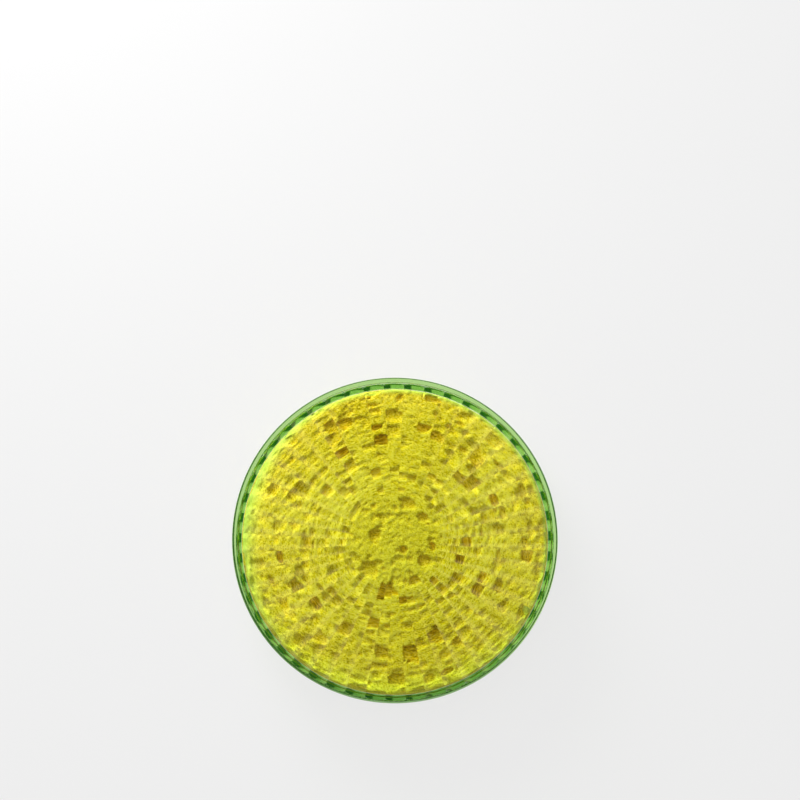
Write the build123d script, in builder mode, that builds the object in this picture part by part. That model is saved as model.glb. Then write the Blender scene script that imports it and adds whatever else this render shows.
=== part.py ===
from build123d import *
from math import atan, cos, degrees, hypot, pi, sin, sqrt, tan
import os

# Round moistening box: a shallow dish of water, a cellulose sponge standing in it, and a clear
# reeded cover that drops over the sponge and seats inside the wall of the dish.
# The origin is on the desk under the middle of the dish, with +Z up. Sizes are in millimetres.

# Dish
dish_diameter = 70.0
dish_height = 10.0  # desk to lip
dish_wall = 1.35
floor_thickness = 1.4
foot_height = 0.4  # how far the middle of the floor stands clear of the desk
foot_band = 5.0  # width of the ring that it stands on
heel_bevel = 0.6  # outer edge at the desk
lip_bevel = 0.25

# Cover
cover_clearance = 0.15  # radial gap between the cover and the wall of the dish
cover_height = 18.2  # mouth to the crests of the reeds
cover_wall = 0.9
reed_depth = 0.6  # crest to valley, at the rim
plate_thickness = 1.2  # under the deepest valley
shoulder_round = 0.45  # outer edge of the top
mouth_bevel = 0.3
centre_disc_radius = 9.0  # plain disc in the middle of the reeds
centre_disc_rise = 0.15  # above the crests

# Reeds of the cover's top
reed_count = 48
first_valley_angle = 4.1  # degrees, from +X towards +Y

# Sponge
sponge_near_gap = 0.2  # to the cover on its +X side, where it leans
sponge_far_gap = 0.5  # to the cover on its -X side
sponge_headroom = 1.8  # sponge to ceiling
sponge_edge = 0.9  # bevel that wear leaves on its upper edge
deep_pore_depth = 1.6
wide_pore_depth = 1.0
pore_sides = 12

# Where the main pores open in the top of the sponge: across and up from the axis, and radius
deep_pores = [
    (-2.7, 21.6, 1.2), (-11.3, 18.8, 1.2), (-13.8, 24.3, 1.2), (-10.5, 25.1, 1.2), (17.4, 18.2, 1.7),
    (13.8, 13.4, 1.2), (16.4, 12.0, 1.7), (14.1, -3.4, 0.9), (6.1, -3.9, 1.4), (-1.8, -10.4, 2.1),
    (1.8, -12.5, 0.9), (-16.7, -13.2, 1.1), (17.9, -10.1, 1.2), (28.4, -3.2, 1.2), (-4.5, -17.3, 1.2),
    (9.0, -20.0, 1.9), (3.5, -23.8, 1.6), (0.3, -29.3, 1.3),
]
wide_pores = [
    (-0.6, 26.9, 1.5), (-13.2, 21.8, 1.4), (9.0, 22.3, 1.2), (-9.0, 16.3, 1.3), (-4.0, 14.6, 1.2),
    (-20.8, 10.3, 1.9), (-9.7, 10.8, 1.4), (-4.2, 1.4, 1.7), (2.7, 7.9, 1.4), (-5.2, -5.8, 2.0),
    (-20.8, -9.9, 1.7), (-21.5, 3.6, 1.3), (13.5, -7.7, 1.6), (30.0, -7.0, 1.2), (-10.5, -18.5, 1.7),
    (13.5, -21.4, 1.4), (-2.5, -23.8, 1.4), (-16.2, -20.4, 1.4), (21.9, -9.9, 1.4), (20.0, 5.5, 1.9),
    (21.0, 21.3, 1.4),
]

# Worked out from the sizes above
dish_radius = dish_diameter / 2
dish_bore = dish_radius - dish_wall
floor_top = foot_height + floor_thickness
cover_radius = dish_bore - cover_clearance
cover_bore = cover_radius - cover_wall
cover_top = floor_top + cover_height
ceiling = cover_top - reed_depth - plate_thickness
half_pitch = pi / reed_count
first_crest_angle = first_valley_angle + degrees(half_pitch)
sponge_radius = cover_bore - (sponge_near_gap + sponge_far_gap) / 2
sponge_shift = (sponge_far_gap - sponge_near_gap) / 2
sponge_top = ceiling - sponge_headroom

# Each reed is part of a cone with its apex in the middle of the top. The cone's upper line lies
# level along the crest, and neighbouring cones cross in a valley that deepens towards the rim.
valley_slope = reed_depth / cover_radius
reed_half_angle = atan((sqrt(1 + valley_slope**2) - cos(half_pitch)) / valley_slope)
reed_root = ceiling + plate_thickness / 2
reed_start = centre_disc_radius / 2
reed_end = cover_radius / cos(reed_half_angle) ** 2
rounding_top = cover_top + 2 * centre_disc_rise

os.makedirs("parts", exist_ok=True)


def on_circle(radius, angle):
    """Point at an angle in radians on a circle round the axis."""
    return (radius * cos(angle), radius * sin(angle))


def turned_block(radius, bottom, top, bevel):
    """Half section of a round block, bevelled at its lower edge, for turning about the axis."""
    with BuildLine() as outline:
        Polyline(
            (0, top),
            (0, bottom),
            (radius - bevel, bottom),
            (radius, bottom + bevel),
            (radius, top),
            close=True,
        )
    return make_face(outline.edges())


# The dish is one moulding: a low plain wall round a floor that stands on a broad foot ring
with BuildPart() as base_dish:
    with BuildSketch(Plane.XZ):
        block = turned_block(dish_radius, 0, dish_height, heel_bevel)
        chamfer(block.vertices().group_by(Axis.X)[-1].sort_by(Axis.Y)[-1], length=lip_bevel)
    revolve()
    with BuildSketch(Plane.XY.offset(floor_top)):
        Circle(dish_bore)
    extrude(amount=dish_height, mode=Mode.SUBTRACT)
    with BuildSketch():
        Circle(dish_radius - foot_band)
    extrude(amount=foot_height, taper=45, mode=Mode.SUBTRACT)
base_dish.part.label = "base_dish"

# One reed of the top, from under the centre disc to the wall: a slice of the plate below a cone
with BuildPart() as reed:
    with BuildSketch(Plane.XY.offset(reed_root)):
        with BuildLine():
            Polyline(
                on_circle(cover_radius, half_pitch),
                on_circle(reed_start, half_pitch),
                on_circle(reed_start, -half_pitch),
                on_circle(cover_radius, -half_pitch),
            )
            ThreePointArc(
                on_circle(cover_radius, -half_pitch),
                on_circle(cover_radius, 0),
                on_circle(cover_radius, half_pitch),
            )
        make_face()
    extrude(amount=cover_top - reed_root)
    with Locations(Location((0, 0, cover_top), (0, 90 + degrees(reed_half_angle), 0))):
        Cone(
            bottom_radius=0,
            top_radius=reed_end * tan(reed_half_angle),
            height=reed_end,
            align=(Align.CENTER, Align.CENTER, Align.MIN),
            mode=Mode.INTERSECT,
        )

# The cover is one moulding: a plain wall under a sunburst of convex reeds that meet in sharp valleys
# and run out at the rim
with BuildPart() as cover:
    with BuildSketch(Plane.XY.offset(floor_top)):
        Circle(cover_radius)
    extrude(amount=reed_root - floor_top)
    with PolarLocations(0, reed_count, start_angle=first_crest_angle):
        add(reed.part)
    with BuildSketch(Plane.XY.offset(reed_root)):
        Circle(centre_disc_radius)
    extrude(amount=cover_top + centre_disc_rise - reed_root)
    with BuildSketch(Plane.XZ):
        block = turned_block(cover_radius, floor_top, rounding_top, mouth_bevel)
        fillet(block.vertices().group_by(Axis.X)[-1].sort_by(Axis.Y)[-1], radius=shoulder_round)
    revolve(mode=Mode.INTERSECT)
    with BuildSketch(Plane.XY.offset(floor_top)):
        Circle(cover_bore)
    extrude(amount=ceiling - floor_top, mode=Mode.SUBTRACT)
cover.part.label = "cover"

# The sponge is cut from a sheet as a flat disc, which lays its pores open. Wear takes its upper edge
# off, and only pores that stay clear of that edge are opened.
with BuildPart() as sponge:
    with BuildSketch(Plane((sponge_shift, 0, floor_top))):
        Circle(sponge_radius)
    extrude(amount=sponge_top - floor_top)
    chamfer(sponge.edges().group_by(Axis.Z)[-1], length=sponge_edge)
    for pores, depth in ((deep_pores, deep_pore_depth), (wide_pores, wide_pore_depth)):
        with BuildSketch(Plane.XY.offset(sponge_top)):
            for across, up, radius in pores:
                if hypot(across - sponge_shift, up) + radius < sponge_radius - sponge_edge:
                    with Locations((across, up)):
                        RegularPolygon(radius, pore_sides)
        extrude(amount=-depth, mode=Mode.SUBTRACT)
sponge.part.label = "sponge"

for piece in (base_dish, cover, sponge):
    export_step(piece.part, f"parts/{piece.part.label}.step")
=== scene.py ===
from math import atan2, cos, hypot, pi, radians, sin, sqrt
from random import Random

import bmesh
import bpy
from mathutils import Matrix, Vector, kdtree, noise


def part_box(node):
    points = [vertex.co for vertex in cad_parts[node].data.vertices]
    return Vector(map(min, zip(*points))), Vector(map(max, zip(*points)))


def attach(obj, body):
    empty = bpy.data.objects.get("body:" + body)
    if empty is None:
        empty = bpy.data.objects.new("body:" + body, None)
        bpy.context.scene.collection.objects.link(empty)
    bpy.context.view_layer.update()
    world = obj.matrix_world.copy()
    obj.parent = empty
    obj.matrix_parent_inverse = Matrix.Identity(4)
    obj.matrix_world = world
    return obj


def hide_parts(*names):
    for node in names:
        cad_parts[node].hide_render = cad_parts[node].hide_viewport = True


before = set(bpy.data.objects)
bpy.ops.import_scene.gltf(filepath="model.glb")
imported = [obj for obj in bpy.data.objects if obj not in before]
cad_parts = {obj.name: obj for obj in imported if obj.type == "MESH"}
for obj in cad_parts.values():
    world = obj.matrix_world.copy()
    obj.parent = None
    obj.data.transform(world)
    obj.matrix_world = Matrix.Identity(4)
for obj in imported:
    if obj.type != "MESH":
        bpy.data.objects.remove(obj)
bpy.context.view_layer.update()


# Base dish: the shallow tray that holds the water, one moulding of see-through green polystyrene.
# A low plain wall goes round a flat floor that stands on a broad foot ring, and the mould leaves
# every corner a little rounded.
mm = 0.001
dish_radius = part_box("base_dish")[1].x
dish_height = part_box("base_dish")[1].z
dish_wall = 1.15 * mm
dish_bore = dish_radius - dish_wall
dish_floor = 1.8 * mm
foot_height = 0.4 * mm
foot_band = 5.0 * mm  # width of the ring that it stands on
foot_inside = dish_radius - foot_band
dish_steps = 288


class Shade:
    """A socket among a material's nodes, on which sums and products add Math nodes."""

    def __init__(self, tree, socket=None):
        self.tree = tree
        self.socket = socket

    def node(self, kind, settings, sockets, output=0):
        """Adds a node, sets it up, and then fills or links its sockets."""
        node = self.tree.nodes.new("ShaderNode" + kind)
        for name, value in settings.items():
            if name == "stops":
                ramp = node.color_ramp.elements
                while len(ramp) < len(value):
                    ramp.new(1.0)
                for stop, (position, colour) in zip(ramp, value):
                    stop.position = position
                    stop.color = colour
            else:
                setattr(node, name, value)
        for name, value in sockets.items():
            if isinstance(value, Shade):
                self.tree.links.new(value.socket, node.inputs[name])
            else:
                node.inputs[name].default_value = value
        return Shade(self.tree, node.outputs[output] if node.outputs else None)

    def math(self, operation, first, second):
        return self.node("Math", {"operation": operation}, {0: first, 1: second})

    def __add__(self, other):
        return self.math("ADD", self, other)

    __radd__ = __add__

    def __mul__(self, other):
        return self.math("MULTIPLY", self, other)

    __rmul__ = __mul__

    def __sub__(self, other):
        return self.math("SUBTRACT", self, other)

    def __rsub__(self, other):
        return self.math("SUBTRACT", other, self)


def new_material(name):
    """Gives an empty material and the start of its nodes."""
    material = bpy.data.materials.new(name)
    material.use_nodes = True
    material.node_tree.nodes.clear()
    return material, Shade(material.node_tree)


def green_plastic(name, flow_scale):
    """Clear green polystyrene: polished by the mould, faintly wavy where it flowed, rubbed in places."""
    material, shade = new_material(name)
    place = shade.node("TexCoord", {}, {}, "Object")
    flow = shade.node("TexNoise", {}, {"Vector": place, "Scale": flow_scale, "Detail": 2.0})
    rubbing = shade.node("TexNoise", {}, {"Vector": place, "Scale": 420.0, "Detail": 4.0, "Roughness": 0.7})
    waves = shade.node("Bump", {}, {"Height": flow, "Strength": 0.12, "Distance": 0.1 * mm})
    surface = shade.node("BsdfPrincipled", {}, {
        "Base Color": (1.0, 1.0, 1.0, 1.0),
        "Roughness": 0.015 + rubbing * 0.05,
        "IOR": 1.57,
        "Transmission Weight": 1.0,
        "Specular IOR Level": 0.12,
        "Normal": waves,
    })
    clear = shade.node("BsdfTransparent", {}, {})
    for ray in ("Is Diffuse Ray", "Is Shadow Ray"):
        surface = shade.node("MixShader", {}, {0: shade.node("LightPath", {}, {}, ray), 1: surface, 2: clear})
    inside = shade.node("VolumeAbsorption", {}, {"Color": (0.456, 0.81, 0.0, 1.0), "Density": 125.0})
    shade.node("OutputMaterial", {}, {"Surface": surface, "Volume": inside})
    return material


def half_section(outline, rounds):
    """Draws (radius, height) corners as a line in the XZ plane and rounds those that are named."""
    section = bmesh.new()
    corners = [section.verts.new((radius, 0.0, height)) for radius, height in outline]
    for start, end in zip(corners, corners[1:]):
        section.edges.new((start, end))
    for corner, size, segments in rounds:
        bmesh.ops.bevel(
            section, geom=[corners[corner]], offset=size, affect="VERTICES",
            segments=segments, profile=0.5, material=-1,
        )
    return section


def spin_section(section, start_angle, steps):
    """Turns a half section, drawn from axis to axis, once round into a closed shell."""
    bmesh.ops.rotate(
        section, verts=section.verts, cent=(0, 0, 0), matrix=Matrix.Rotation(start_angle, 3, "Z")
    )
    bmesh.ops.spin(
        section, geom=section.verts[:] + section.edges[:], cent=(0, 0, 0), axis=(0, 0, 1),
        angle=2 * pi, steps=steps, use_merge=True,
    )
    bmesh.ops.remove_doubles(section, verts=section.verts, dist=0.001 * mm)
    bmesh.ops.recalc_face_normals(section, faces=section.faces)


def finished(shell, name, crease, material):
    """Makes a piece of a shell, smooth but for edges that are sharper than the crease."""
    for face in shell.faces:
        face.smooth = True
    for edge in shell.edges:
        edge.smooth = edge.calc_face_angle(0.0) < crease
    mesh = bpy.data.meshes.new(name)
    shell.to_mesh(mesh)
    shell.free()
    mesh.materials.append(material)
    piece = bpy.data.objects.new(name, mesh)
    bpy.context.scene.collection.objects.link(piece)
    return piece


dish_shell = half_section(
    [
        (0, foot_height),
        (foot_inside - foot_height, foot_height),
        (foot_inside, 0),
        (dish_radius, 0),
        (dish_radius, dish_height),
        (dish_bore, dish_height),
        (dish_bore, dish_floor),
        (0, dish_floor),
    ],
    [
        (1, 0.15 * mm, 2), (2, 0.15 * mm, 2), (3, 0.25 * mm, 4),
        (4, 0.12 * mm, 3), (5, 0.2 * mm, 4), (6, 0.3 * mm, 4),
    ],
)
spin_section(dish_shell, 0.0, dish_steps)
dish_plastic = green_plastic("dish_plastic", 60.0)
dish = finished(dish_shell, "dish", radians(40), dish_plastic)
flat_faces = dish.modifiers.new("flat_faces", "WEIGHTED_NORMAL")
flat_faces.keep_sharp = True
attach(dish, "dish")
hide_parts("base_dish")


# Sponge: a disc of yellow cellulose sponge, cut from a sheet, that stands in the dish.
# Bubbles in the viscose leave round pores of many sizes with thin ragged walls between them, and
# its cut edge is torn and worn.
sponge_low, sponge_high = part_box("sponge")
sponge_foot = sponge_low.z + 0.05 * mm
cover_bore = 32.6 * mm
sponge_gap = 0.12 * mm  # damp, it swells until it all but fills the cover
sponge_radius = cover_bore - sponge_gap
top_cells = 256
side_rings = 20
least_wear = 0.35 * mm  # of the upper edge
most_wear = 1.8 * mm
worn_width = 4.0 * mm
worn_side = radians(174)
short_side = radians(268)  # where it was cut short of the wall
short_by = 0.9 * mm
torn_width = 1.5 * mm
edge_band = 2.5 * mm  # how far down its edge the painted green light and painted glow reach
wall_light_width = 1.2 * mm
wall_light_spread = 3.2 * mm  # added on the worn side, where the painted green light reaches farther in
painted_glow_width = 5 * mm  # of the glow painted on the thin edge, as light coming through it
large_pores = [  # across, up, radius and depth in millimetres, where the largest ones show
    (-2.7, 21.6, 1.2, 2.0), (-11.3, 18.8, 1.2, 2.0), (-0.6, 26.9, 1.5, 1.0), (-13.8, 24.3, 1.2, 1.4),
    (-10.5, 25.1, 1.2, 1.4), (-3.9, 24.3, 0.7, 1.4), (-13.2, 21.8, 1.4, 1.0), (17.4, 18.2, 1.7, 1.3),
    (8.0, 30.4, 1.1, 1.2), (6.1, 24.2, 1.0, 1.3), (9.0, 22.3, 1.2, 1.0), (-9.0, 16.3, 1.3, 0.9),
    (-4.0, 14.6, 1.2, 1.0), (-14.0, 11.1, 1.2, 1.0), (-20.8, 10.3, 1.9, 1.0), (-25.6, 11.2, 1.2, 0.8),
    (-9.7, 10.8, 1.4, 0.9), (13.8, 13.4, 1.2, 1.3), (16.4, 12.0, 1.7, 1.4), (21.0, 8.8, 0.8, 1.6),
    (-4.2, 1.4, 1.7, 1.2), (2.7, 7.9, 1.4, 1.0), (6.1, 5.0, 1.1, 1.0), (8.0, -0.8, 0.8, 1.5),
    (15.5, 0.0, 0.9, 1.5), (14.1, -3.4, 0.9, 2.0), (1.8, -1.7, 1.0, 1.3), (6.1, -3.9, 1.4, 1.3),
    (-5.2, -5.8, 2.0, 1.0), (-1.8, -10.4, 2.1, 1.8), (1.8, -12.5, 0.9, 1.9), (-16.7, -13.2, 1.1, 1.7),
    (-20.8, -9.9, 1.7, 1.1), (-21.5, 3.6, 1.3, 1.1), (-24.4, -3.4, 0.8, 1.5), (-18.6, 0.0, 1.1, 1.0),
    (17.9, -10.1, 1.2, 1.7), (18.6, -7.2, 1.0, 1.3), (13.5, -7.7, 1.6, 1.0), (4.2, -8.2, 1.1, 1.2),
    (8.3, -8.4, 0.8, 1.2), (28.4, -3.2, 1.2, 1.4), (30.6, -7.0, 1.3, 0.9), (-4.5, -17.3, 1.2, 1.4),
    (-10.5, -18.5, 1.7, 1.0), (9.0, -20.0, 1.9, 1.5), (13.5, -21.4, 1.4, 1.1), (3.5, -23.8, 1.6, 1.5),
    (-2.5, -23.8, 1.4, 1.0), (0.3, -29.3, 1.3, 1.7), (-5.2, -30.3, 0.8, 1.3), (-20.3, -21.2, 1.2, 0.8),
    (-16.2, -20.4, 1.4, 0.8), (-23.4, -13.2, 1.0, 0.9), (27.0, -15.2, 1.1, 1.1), (21.9, -9.9, 1.4, 1.0),
    (20.0, 5.5, 1.9, 0.8), (21.0, 21.3, 1.4, 0.7), (9.9, -10.4, 1.0, 1.0),
]
tears = [  # in the rim, written as the pores are
    (7.6, -29.1, 0.8, 1.3), (9.4, -28.4, 0.8, 1.5), (11.2, -27.6, 0.8, 1.5), (13.0, -26.9, 0.8, 1.3),
]

sponge_skin = bmesh.new()
pore_depth = sponge_skin.verts.layers.float.new("pore_depth")
edge_haze = sponge_skin.verts.layers.float.new("edge_haze")
edge_glow = sponge_skin.verts.layers.float.new("edge_glow")
bmesh.ops.create_grid(sponge_skin, x_segments=top_cells, y_segments=top_cells, size=1.0)
for vert in sponge_skin.verts:
    x, y, z = vert.co
    vert.co = Vector((x * sqrt(1 - y * y / 2), y * sqrt(1 - x * x / 2), 0)) * sponge_radius
    vert.co.z = sponge_high.z
rim = [edge for edge in sponge_skin.edges if edge.is_boundary]
for ring in range(side_rings):
    pulled = bmesh.ops.extrude_edge_only(sponge_skin, edges=rim)["geom"]
    rim = [part for part in pulled if isinstance(part, bmesh.types.BMEdge)]
    bmesh.ops.translate(
        sponge_skin, vec=(0, 0, (sponge_foot - sponge_high.z) / side_rings),
        verts=[part for part in pulled if isinstance(part, bmesh.types.BMVert)],
    )
bmesh.ops.edgeloop_fill(sponge_skin, edges=rim)
bmesh.ops.recalc_face_normals(sponge_skin, faces=sponge_skin.faces)
sponge_skin.normal_update()

sponge_random = Random(70)
pores = []
for across, up, size, deep in large_pores + tears:
    middle = Vector((across * mm, up * mm, sponge_high.z))
    long_way = pi * sponge_random.random()
    stretch = 1.0 + 0.4 * sponge_random.random()
    pores.append((middle, 0.85 * size * mm, deep * mm, long_way, stretch))
for on_top, on_side, smallest, largest, deepest in (
    (0, 70, 0.9, 1.7, 2.0), (420, 300, 0.45, 0.85, 0.6), (2600, 1500, 0.22, 0.42, 0.2),
):
    for pore in range(on_top + on_side):
        turn = 2 * pi * sponge_random.random()
        reach = sponge_radius
        height = sponge_high.z
        if pore < on_top:
            reach *= sqrt(sponge_random.random())
        else:
            height -= (sponge_high.z - sponge_foot) * sponge_random.random()
        middle = Vector((reach * cos(turn), reach * sin(turn), height))
        size = smallest + (largest - smallest) * sponge_random.random() ** 1.5
        deep = deepest * (0.5 + 0.5 * sponge_random.random())
        long_way = pi * sponge_random.random()
        stretch = 1.0 + 0.8 * sponge_random.random()
        pores.append((middle, size * mm, deep * mm, long_way, stretch))
pore_tree = kdtree.KDTree(len(pores))
for index, pore in enumerate(pores):
    pore_tree.insert(pore[0], index)
pore_tree.balance()


def pit(point):
    """How far the sponge is hollowed at a point of its cut faces by the deepest pore there."""
    ragged = 1.0 + 0.4 * noise.noise(point * 800) + 0.3 * noise.noise(point * 2300)
    deepest = 0.0
    for middle, index, away in pore_tree.find_range(point, 2.4 * mm):
        middle, size, deep, long_way, stretch = pores[index]
        offset = point - middle
        along = offset.x * cos(long_way) + offset.y * sin(long_way)
        away = sqrt(max(0.0, offset.length_squared - along**2 * (1 - 1 / stretch**2))) * ragged / size
        wall = min(1.0, max(0.0, (1.05 - away) / 0.25))
        deepest = max(deepest, deep * wall * wall * (3 - 2 * wall))
    return deepest


for vert in sponge_skin.verts:
    if vert.co.z < sponge_foot + 0.1 * mm:
        continue
    fibres = 0.22 * abs(noise.noise(vert.co * 1500)) + 0.1 * abs(noise.noise(vert.co * 3400))
    depth = pit(vert.co) + fibres * mm
    vert[pore_depth] = depth / (2.0 * mm)
    x, y, z = vert.co
    share = max(0.0, cos(atan2(y, x) - worn_side)) ** 4
    uneven = 1.0 + 0.5 * noise.noise(vert.co * 260)
    wear = (least_wear + (most_wear - least_wear) * share) * uneven
    width = (least_wear + (worn_width - least_wear) * share) * uneven
    from_rim = max(0.0, sponge_radius - hypot(x, y))
    sunk = wear * max(0.0, 1.0 - from_rim / width) ** 2
    vert.co.z -= sunk * (z - sponge_foot) / (sponge_high.z - sponge_foot)
    short = max(0.0, cos(atan2(y, x) - short_side))
    # Painted light: the upper edge gets green light and shade from the walls, reaching farther on the worn
    # side, and a painted glow on the short side.
    upper = max(0.0, 1.0 - (sponge_high.z - z) / edge_band)
    wall_light_to = wall_light_width + wall_light_spread * share
    vert[edge_haze] = upper * (1.0 - short) * max(0.0, 1.0 - from_rim / wall_light_to) ** 1.5
    vert[edge_glow] = upper * short * max(0.0, 1.0 - from_rim / painted_glow_width)
    cut = max(0.0, short * (0.3 + 1.3 * noise.noise(vert.co * 380)))
    inwards = short_by * cut * max(0.0, 1.0 - from_rim / torn_width) / sponge_radius
    vert.co.x -= x * inwards
    vert.co.y -= y * inwards
    vert.co -= vert.normal * depth

sponge_yellow, shade = new_material("sponge_yellow")
place = shade.node("TexCoord", {}, {}, "Object")
pore = shade.node("Attribute", {"attribute_name": "pore_depth"}, {}, "Fac")
fibres = shade.node("TexNoise", {}, {"Vector": place, "Scale": 1500.0, "Detail": 5.0, "Roughness": 0.7})
strands = shade.node("TexNoise", {}, {"Vector": place, "Scale": 900.0, "Detail": 4.0}, "Color")
ragged = shade.node("VectorMath", {"operation": "MULTIPLY_ADD"}, {
    0: strands, 1: (1.2 * mm, 1.2 * mm, 1.2 * mm), 2: place,
})
froth = shade.node("TexVoronoi", {"feature": "DISTANCE_TO_EDGE"}, {"Vector": ragged, "Scale": 2200.0})
grain = shade.node("TexNoise", {}, {"Vector": place, "Scale": 3400.0, "Detail": 1.0})
dust = shade.node("TexNoise", {}, {"Vector": place, "Scale": 6500.0, "Detail": 0.0})
holes = 0.0
lips = 0.0
for scale, largest, weight in ((430.0, 0.42, 1.0), (1000.0, 0.4, 0.6)):
    cells = {"Vector": ragged, "Scale": scale}
    away = shade.node("TexVoronoi", {}, cells, "Distance")
    chance = shade.node("SeparateXYZ", {}, {0: shade.node("TexVoronoi", {}, cells, "Color")}, "X")
    hole = shade.node("MapRange", {"interpolation_type": "SMOOTHSTEP"}, {
        "Value": away - chance * largest, "From Min": -0.06, "From Max": 0.04, "To Min": weight, "To Max": 0.0,
    })
    holes = hole + holes
    with_lip = shade.node("MapRange", {"interpolation_type": "SMOOTHSTEP"}, {
        "Value": away - chance * largest, "From Min": 0.05, "From Max": 0.16, "To Min": weight, "To Max": 0.0,
    })
    lips = with_lip - hole + lips
patches = shade.node("TexNoise", {}, {"Vector": place, "Scale": 65.0, "Detail": 2.0})
# Painted shade and light: deeper pore_depth and the holes darken the tone, as shade down in the pores, and the
# lips round the holes are painted lighter, as lit rims; fibres, froth, grain, dust and patches are random
# tone.
tone = (
    pore * 0.4 + holes * 0.12 - lips * 0.12 + fibres * 0.25 + froth * 0.25
    + grain * 2.4 + dust * 3.0 + patches - 3.25
)
yellow = shade.node("ValToRGB", {"stops": [
    (0.0, (0.97, 0.77, 0.1, 1.0)),
    (0.22, (0.94, 0.69, 0.012, 1.0)),
    (0.55, (0.81, 0.58, 0.002, 1.0)),
    (1.0, (0.48, 0.32, 0.0, 1.0)),
]}, {"Fac": tone})
orange = shade.node("Mix", {"data_type": "RGBA", "blend_type": "MULTIPLY"}, {
    0: patches * 0.4, 6: yellow, 7: (1.0, 0.88, 0.6, 1.0),
}, 2)
# Painted light and shade from the green walls, mixed into the colour of the upper edge.
wall_light_share = shade.node("Attribute", {"attribute_name": "edge_haze"}, {}, "Fac")
with_wall_light = shade.node("Mix", {"data_type": "RGBA"}, {0: wall_light_share * 0.9, 6: orange, 7: (0.54, 0.78, 0.14, 1.0)}, 2)
# Painted glow: light coming through the thin short-side edge is added to its colour.
thin = shade.node("Attribute", {"attribute_name": "edge_glow"}, {}, "Fac")
with_painted_glow = shade.node("Mix", {"data_type": "RGBA", "blend_type": "ADD"}, {
    0: thin, 6: with_wall_light, 7: (0.12, 0.28, 0.03, 1.0),
}, 2)
roughened = shade.node("Bump", {}, {
    "Height": 0.0 - holes - fibres - froth * 0.6 - grain - dust, "Strength": 0.26, "Distance": 0.25 * mm,
})
surface = shade.node("BsdfPrincipled", {}, {
    "Base Color": with_painted_glow, "Roughness": 0.85, "Specular IOR Level": 0.05, "Normal": roughened,
})
shade.node("OutputMaterial", {}, {"Surface": surface})
sponge = finished(sponge_skin, "sponge_disc", radians(180), sponge_yellow)
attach(sponge, "sponge")
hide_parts("sponge")


# Cover: the deep cap that drops over the sponge, moulded in the same plastic as the dish.
# Forty-eight convex reeds run in from the rim of its top like a sunburst, getting shallower until
# they fade out round a plain disc in the middle. Its wall is plain.
cover_low, cover_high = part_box("cover")
reeds = 48
first_valley = radians(4.1)
cover_radius = 33.75 * mm
cover_mouth = cover_low.z + 0.06 * mm
ceiling = 18.2 * mm
crest = 20.0 * mm
reed_depth = 0.6 * mm
reed_growth = 1.45  # how fast they deepen towards the rim
disc_inside = 7.5 * mm
disc_outside = 10.5 * mm
reed_fade = 4.0 * mm

cover_shell = half_section(
    [
        (0, ceiling),
        (cover_bore, ceiling),
        (cover_bore, cover_mouth),
        (cover_radius, cover_mouth),
        (cover_radius, crest),
        (disc_outside, crest),
        (disc_inside, cover_high.z),
        (0, cover_high.z),
    ],
    [
        (1, 0.12 * mm, 3), (2, 0.15 * mm, 3), (3, 0.3 * mm, 4),
        (4, 0.15 * mm, 4), (5, 1.2 * mm, 5), (6, 1.2 * mm, 5),
    ],
)
long_edges = [
    edge for edge in cover_shell.edges
    if edge.calc_length() > 3 * mm and all(vert.co.z > ceiling for vert in edge.verts)
]
bmesh.ops.subdivide_edges(cover_shell, edges=long_edges, cuts=10)
spin_section(cover_shell, first_valley, reeds * 12)
cover_shell.normal_update()
for vert in cover_shell.verts:
    reach = hypot(vert.co.x, vert.co.y)
    if reach < disc_inside or vert.co.z < ceiling + 0.1 * mm:
        continue
    turn = (atan2(vert.co.y, vert.co.x) - first_valley) / (2 * pi / reeds) % 1.0
    from_crest = 2 * turn - 1
    fade = min(1.0, max(0.0, (reach - disc_inside) / reed_fade))
    depth = reed_depth * (reach / cover_radius) ** reed_growth * max(0.0, vert.normal.z)
    vert.co -= vert.normal * depth * from_crest**2 * fade * fade * (3 - 2 * fade)
bmesh.ops.recalc_face_normals(cover_shell, faces=cover_shell.faces)
cover_plastic = green_plastic("cover_plastic", 90.0)
cover = finished(cover_shell, "reeded_cover", radians(30), cover_plastic)
flat_faces = cover.modifiers.new("flat_faces", "WEIGHTED_NORMAL")
flat_faces.keep_sharp = True
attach(cover, "cover")
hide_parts("cover")


# Studio: a pale floor, a soft sky that is brightest low down, two lamps at the upper left, and a
# camera that looks straight down, as the photograph does. What the clear walls show below them
# is dark towards the lower right, which sets off the flanks of the reeds.
floor_shape = bmesh.new()
bmesh.ops.create_grid(floor_shape, x_segments=8, y_segments=8, size=3.0)
bmesh.ops.translate(floor_shape, verts=floor_shape.verts, vec=(0, 0, -0.05 * mm))
floor_paper, shade = new_material("floor_paper")
place = shade.node("TexCoord", {}, {}, "Object")
tooth = shade.node("TexNoise", {}, {"Vector": place, "Scale": 900.0, "Detail": 3.0})
paper = shade.node("BsdfPrincipled", {}, {
    "Base Color": (0.88, 0.88, 0.88, 1.0),
    "Roughness": 0.85 + tooth * 0.1,
    "Specular IOR Level": 0.1,
})
glow = shade.node("Emission", {}, {"Color": (0.87, 0.87, 0.87, 1.0), "Strength": 1.0})
seen = shade.node("LightPath", {}, {}, "Is Camera Ray")
lit = shade.node("MixShader", {}, {0: seen * 0.88, 1: paper, 2: glow})
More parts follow.
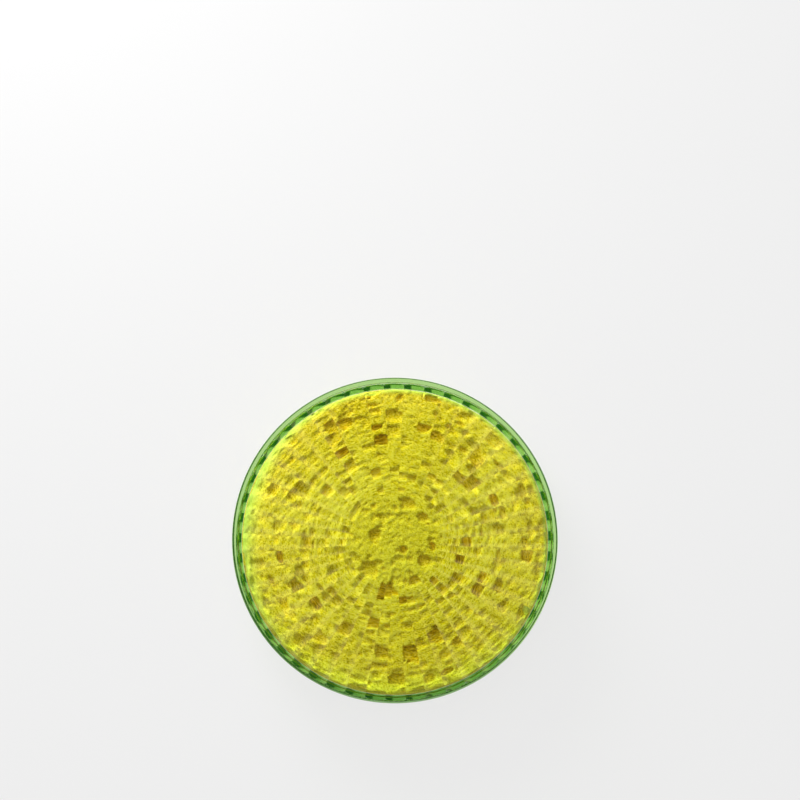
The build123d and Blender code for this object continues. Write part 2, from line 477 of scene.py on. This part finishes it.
# Painted shadow: where the clear plastic shows the floor, a strip in front of the dish is tinted darker and
# bluish grey.
up_floor = shade.node("SeparateXYZ", {}, {0: place}, "Y")
near_side = shade.node("MapRange", {"interpolation_type": "SMOOTHSTEP"}, {
    "Value": up_floor, "From Min": -34 * mm, "From Max": -12 * mm, "To Min": 1.0, "To Max": 0.0,
})
strip_end = shade.node("MapRange", {"interpolation_type": "SMOOTHSTEP"}, {
    "Value": up_floor, "From Min": -75 * mm, "From Max": -50 * mm, "To Min": 0.0, "To Max": 1.0,
})
painted_floor_shadow = shade.node("Mix", {"data_type": "RGBA"}, {
    0: near_side * strip_end, 6: (1.0, 1.0, 1.0, 1.0), 7: (0.56, 0.6, 0.7, 1.0),
}, 2)
clear = shade.node("BsdfTransparent", {}, {"Color": painted_floor_shadow})
seen_through = shade.node("LightPath", {}, {}, "Is Transmission Ray")
surface = shade.node("MixShader", {}, {0: seen_through, 1: lit, 2: clear})
shade.node("OutputMaterial", {}, {"Surface": surface})
floor_paper.cycles.emission_sampling = "NONE"
floor = finished(floor_shape, "floor", radians(180), floor_paper)

world = bpy.data.worlds.new("studio")
bpy.context.scene.world = world
world.use_nodes = True
world.node_tree.nodes.clear()
shade = Shade(world.node_tree)
direction = shade.node("TexCoord", {}, {}, "Generated")
height = shade.node("SeparateXYZ", {}, {0: direction}, "Z")
depth_in = shade.node("SeparateXYZ", {}, {0: direction}, "Y")
across = shade.node("SeparateXYZ", {}, {0: direction}, "X")
sky = shade.node("MapRange", {}, {
    "Value": height, "From Min": 0.0, "From Max": 0.55, "To Min": 1.7, "To Max": 0.03,
})
below = shade.node("MapRange", {}, {
    "Value": height, "From Min": -0.05, "From Max": 0.0, "To Min": 1.0, "To Max": 0.0,
})
steep = shade.node("MapRange", {"interpolation_type": "SMOOTHSTEP"}, {
    "Value": height, "From Min": -0.95, "From Max": -0.85, "To Min": 1.0, "To Max": 0.0,
})
lit_side = shade.node("MapRange", {"interpolation_type": "SMOOTHSTEP"}, {
    "Value": depth_in, "From Min": -0.09, "From Max": -0.03, "To Min": 0.0, "To Max": 1.0,
})
far_side = shade.node("MapRange", {"interpolation_type": "SMOOTHSTEP"}, {
    "Value": across, "From Min": 0.06, "From Max": 0.12, "To Min": 1.0, "To Max": 0.0,
})
shaded = (1.0 - lit_side * far_side) * steep * below
tint = shade.node("Mix", {"data_type": "RGBA"}, {
    0: shaded, 6: (1.0, 1.0, 1.0, 1.0), 7: (0.08, 0.21, 0.11, 1.0),
}, 2)
softbox = shade.node("ValToRGB", {"stops": [
    (0.1, (0.0, 0.0, 0.0, 1.0)),
    (0.18, (1.0, 0.93, 0.42, 1.0)),
    (0.3, (1.0, 0.93, 0.42, 1.0)),
    (0.42, (0.0, 0.0, 0.0, 1.0)),
]}, {"Fac": depth_in * 0.5 + 0.5})
mirrored = shade.node("LightPath", {}, {}, "Is Glossy Ray")
plain = shade.node("Background", {}, {"Color": tint, "Strength": sky + (0.9 - sky) * below})
reflected = shade.node("Background", {}, {"Color": softbox, "Strength": mirrored * (1.0 - below) * 1.5})
background = shade.node("AddShader", {}, {0: plain, 1: reflected})
shade.node("OutputWorld", {}, {"Surface": background})

for name, stands_at, size, energy in (
    ("window", (-0.1, 0.2, 0.13), 0.14, 0.72), ("ceiling_panel", (-0.1, 0.2, 0.7), 0.7, 2.2),
):
    light = bpy.data.lights.new(name, "AREA")
    light.shape = "DISK"
    light.size = size
    light.energy = energy
    lamp = bpy.data.objects.new(name, light)
    lamp.location = stands_at
    lamp.rotation_euler = (-lamp.location).to_track_quat("-Z", "Y").to_euler()
    lamp.visible_camera = False
    lamp.visible_glossy = False
    lamp.visible_transmission = False
    bpy.context.scene.collection.objects.link(lamp)

cycles = bpy.context.scene.cycles  # light bounces many times inside clear walls
cycles.max_bounces = 24
cycles.glossy_bounces = 16
cycles.transmission_bounces = 24
cycles.transparent_max_bounces = 24

camera_height = 0.82
picture_width = 0.1719  # taken in at the height of the lip
lens = bpy.data.cameras.new("camera")
lens.sensor_width = 36.0
lens.lens = lens.sensor_width * (camera_height - dish_height) / picture_width
camera = bpy.data.objects.new("camera", lens)
camera.location = (1.1 * mm, 30.2 * mm, camera_height)
bpy.context.scene.collection.objects.link(camera)
bpy.context.scene.camera = camera
bpy.context.scene.view_settings.view_transform = "Standard"
